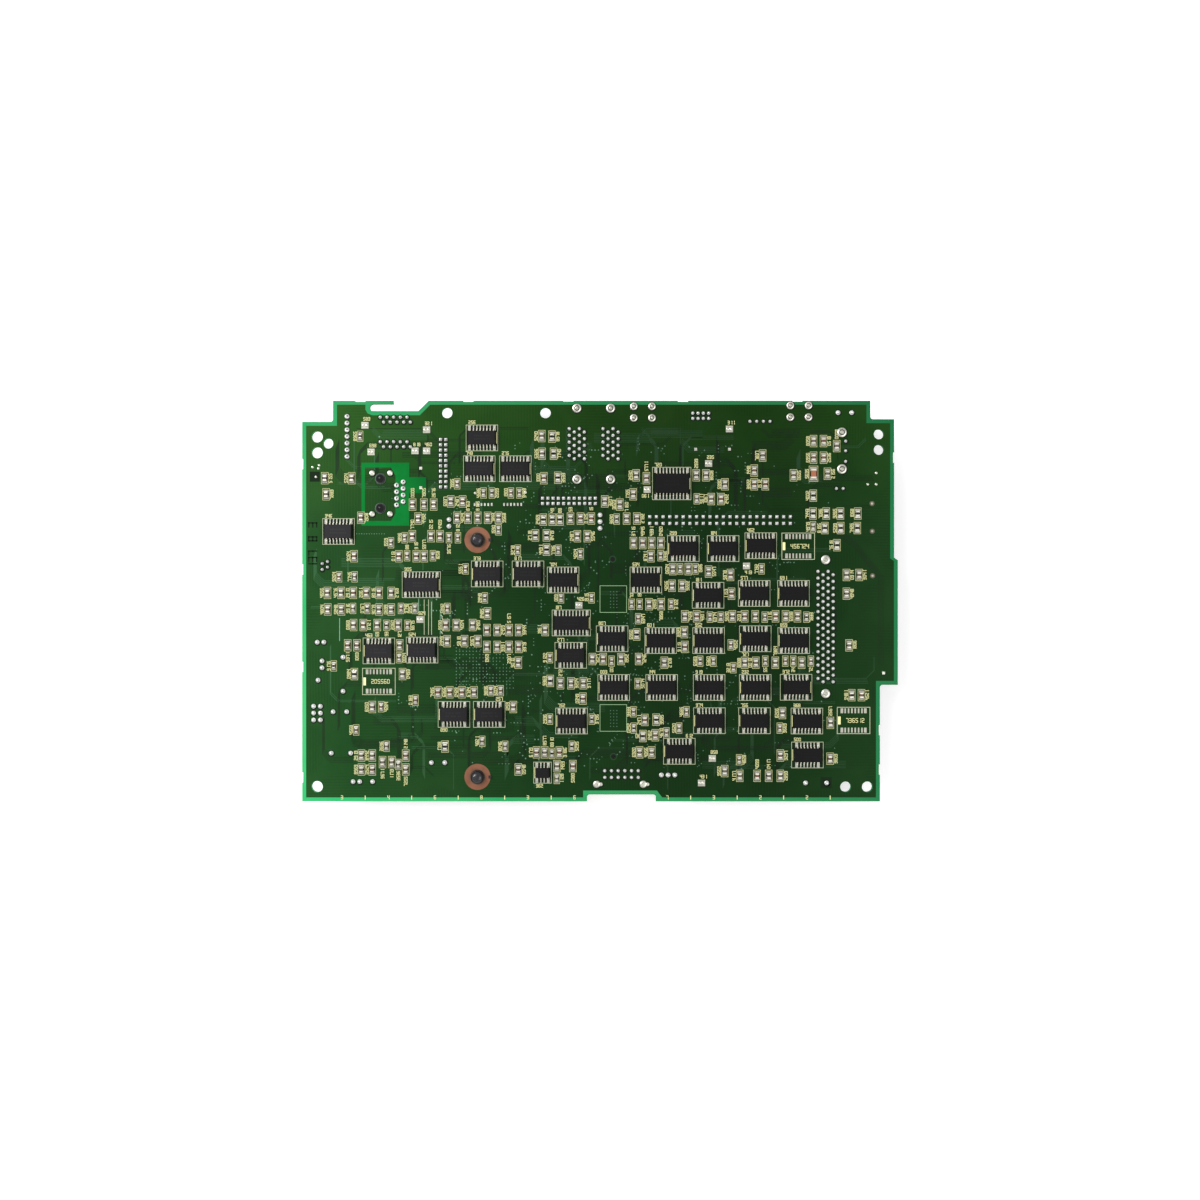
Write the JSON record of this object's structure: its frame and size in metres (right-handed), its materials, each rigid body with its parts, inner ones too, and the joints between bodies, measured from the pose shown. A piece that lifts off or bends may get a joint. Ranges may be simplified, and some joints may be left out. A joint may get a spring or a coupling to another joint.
{
  "type": "main control board",
  "caption": "Rectangular multilayer circuit board with logic and chip parts on its solder side, and upright connectors and support posts on its component side.",
  "frame": {"origin": "under the middle of the board, in the plane that its tallest connectors and spacers stand on", "axes": "+X to the right and +Y away along the board, +Z out of the solder side"},
  "size_m": [0.226, 0.152, 0.0197],
  "materials": {
    "board": "green solder mask over glass-fibre laminate",
    "chip_body": "moulded epoxy, fine matt texture",
    "tinned_lead": "tin plated",
    "solder": "bright solder",
    "chip_ceramic": "fired ceramic",
    "resistor_body": "glass coated",
    "shield_steel": "tinned sheet",
    "connector_black": "glass-filled moulding",
    "connector_ivory": "natural moulding",
    "spacer_nylon": "black nylon",
    "capacitor_can": "sleeved can",
    "power_mould": "moulded part"
  },
  "bodies": {
    "root": {"circuit_board": "board", "chip_leads": "tinned_lead", "chip_capacitors": "chip_ceramic", "chip_resistors": "resistor_body", "small_chips": "chip_ceramic", "pin_tails": "solder", "network_jack_shield": "shield_steel", "network_jack_body": "connector_black", "io_connectors": "connector_black", "expansion_connector": "connector_black", "bus_socket": "connector_black", "display_header": "connector_ivory", "edge_socket": "connector_ivory", "pin_headers": "connector_ivory", "ribbon_headers": "connector_ivory", "card_connector": "connector_black", "optical_link": "connector_black", "board_spacers": "spacer_nylon", "can_capacitors": "capacitor_can", "power_parts": "power_mould", "main_processor": "chip_body", "logic_chip_01": "chip_body", "logic_chip_02": "chip_body", "logic_chip_03": "chip_body", "logic_chip_04": "chip_body", "logic_chip_05": "chip_body", "logic_chip_06": "chip_body", "logic_chip_07": "chip_body", "logic_chip_08": "chip_body", "logic_chip_09": "chip_body", "logic_chip_10": "chip_body", "logic_chip_11": "chip_body", "logic_chip_12": "chip_body", "logic_chip_13": "chip_body", "logic_chip_14": "chip_body", "logic_chip_15": "chip_body", "logic_chip_16": "chip_body", "logic_chip_17": "chip_body", "logic_chip_18": "chip_body", "logic_chip_19": "chip_body", "logic_chip_20": "chip_body", "logic_chip_21": "chip_body", "logic_chip_22": "chip_body", "logic_chip_23": "chip_body", "logic_chip_24": "chip_body", "logic_chip_25": "chip_body", "logic_chip_26": "chip_body", "logic_chip_27": "chip_body", "logic_chip_28": "chip_body", "logic_chip_29": "chip_body", "logic_chip_30": "chip_body", "logic_chip_31": "chip_body", "logic_chip_32": "chip_body", "logic_chip_33": "chip_body", "logic_chip_34": "chip_body", "logic_chip_35": "chip_body", "logic_chip_36": "chip_body", "logic_chip_37": "chip_body", "logic_chip_38": "chip_body", "logic_chip_39": "chip_body"}
  },
  "joints": []
}
